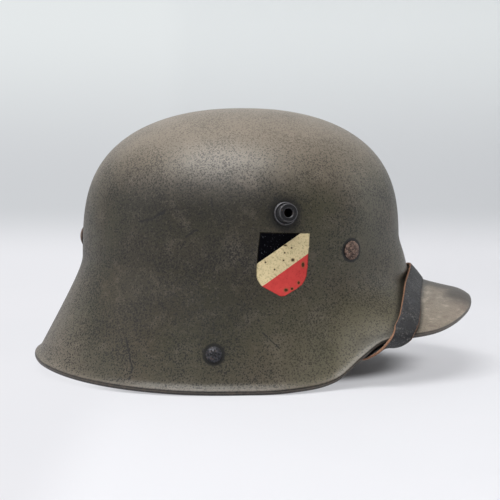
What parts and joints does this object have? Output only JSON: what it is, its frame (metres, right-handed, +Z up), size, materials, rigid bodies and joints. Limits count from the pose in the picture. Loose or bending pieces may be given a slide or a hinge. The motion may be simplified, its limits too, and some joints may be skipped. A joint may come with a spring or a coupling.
{
  "type": "steel helmet",
  "caption": "Flared steel helmet with a visor, stepped side vent lugs, a striped shield, a sprung leather liner and a buckled chin strap worn over the visor.",
  "frame": {"origin": "under the middle of the overall box, on the surface that the rim rests on", "axes": "+X forward over the visor, +Y to the wearer's left, +Z up"},
  "size_m": [0.3053, 0.2276, 0.18],
  "materials": {
    "field_paint": "satin, worn",
    "dark_steel": "worn, semi-matte",
    "rusty_pin": "rusted",
    "zinc_steel": "dull",
    "tan_leather": "aged",
    "black_leather": "worn, satin",
    "cord": "twisted cotton"
  },
  "bodies": {
    "helmet": {"shell": "field_paint", "vent_lug_right": "dark_steel", "vent_lug_left": "dark_steel", "liner_pin_right": "rusty_pin", "liner_pin_left": "rusty_pin", "liner_pin_rear": "rusty_pin", "pin_washers": "zinc_steel", "outer_band": "zinc_steel", "leaf_springs": "zinc_steel", "spring_rivets": "rusty_pin", "lug_rivet_right": "dark_steel", "lug_rivet_left": "dark_steel", "strap_lug_right": "dark_steel", "strap_lug_left": "dark_steel", "long_strap": "black_leather", "short_strap": "black_leather", "strap_studs": "zinc_steel", "buckle_frame": "zinc_steel"},
    "liner": {"inner_band": "zinc_steel", "liner_leather": "tan_leather", "liner_rivets": "rusty_pin", "drawstring": "cord"},
    "hook_right": {"strap_hook_right": "zinc_steel"},
    "hook_left": {"strap_hook_left": "zinc_steel"},
    "roller": {"buckle_roller": "zinc_steel"},
    "prong": {"buckle_prong": "zinc_steel"},
    "keeper": {"strap_keeper": "black_leather"}
  },
  "joints": [
    {"name": "liner_float", "type": "slide", "parent": "helmet", "child": "liner", "axis": [1, 0, 0], "range_m": [-0.002, 0.002], "stiffness_N_per_m": 3000, "deforming": ["leaf_springs"]},
    {"name": "hook_turn_right", "type": "hinge", "parent": "helmet", "child": "hook_right", "pos_m": [-0.02465, -0.09685, 0.02427], "axis": [-0.0038, 1, 0], "range_deg": [-3.5, 3.5]},
    {"name": "hook_turn_left", "type": "hinge", "parent": "helmet", "child": "hook_left", "pos_m": [-0.02465, 0.09685, 0.02427], "axis": [0.0038, 1, 0], "range_deg": [-3.5, 3.5]},
    {"name": "prong_lift", "type": "hinge", "parent": "helmet", "child": "prong", "pos_m": [0.03744, 0.08425, 0.02427], "axis": [0, 0, -1], "range_deg": [0, 30]},
    {"name": "roller_spin", "type": "hinge", "parent": "helmet", "child": "roller", "pos_m": [0.0508, 0.08008, 0.02427], "axis": [0, 0, 1], "continuous": true},
    {"name": "keeper_slide", "type": "slide", "parent": "helmet", "child": "keeper", "axis": [0.9545, -0.2981, 0], "range_m": [0, 0.006]}
  ]
}
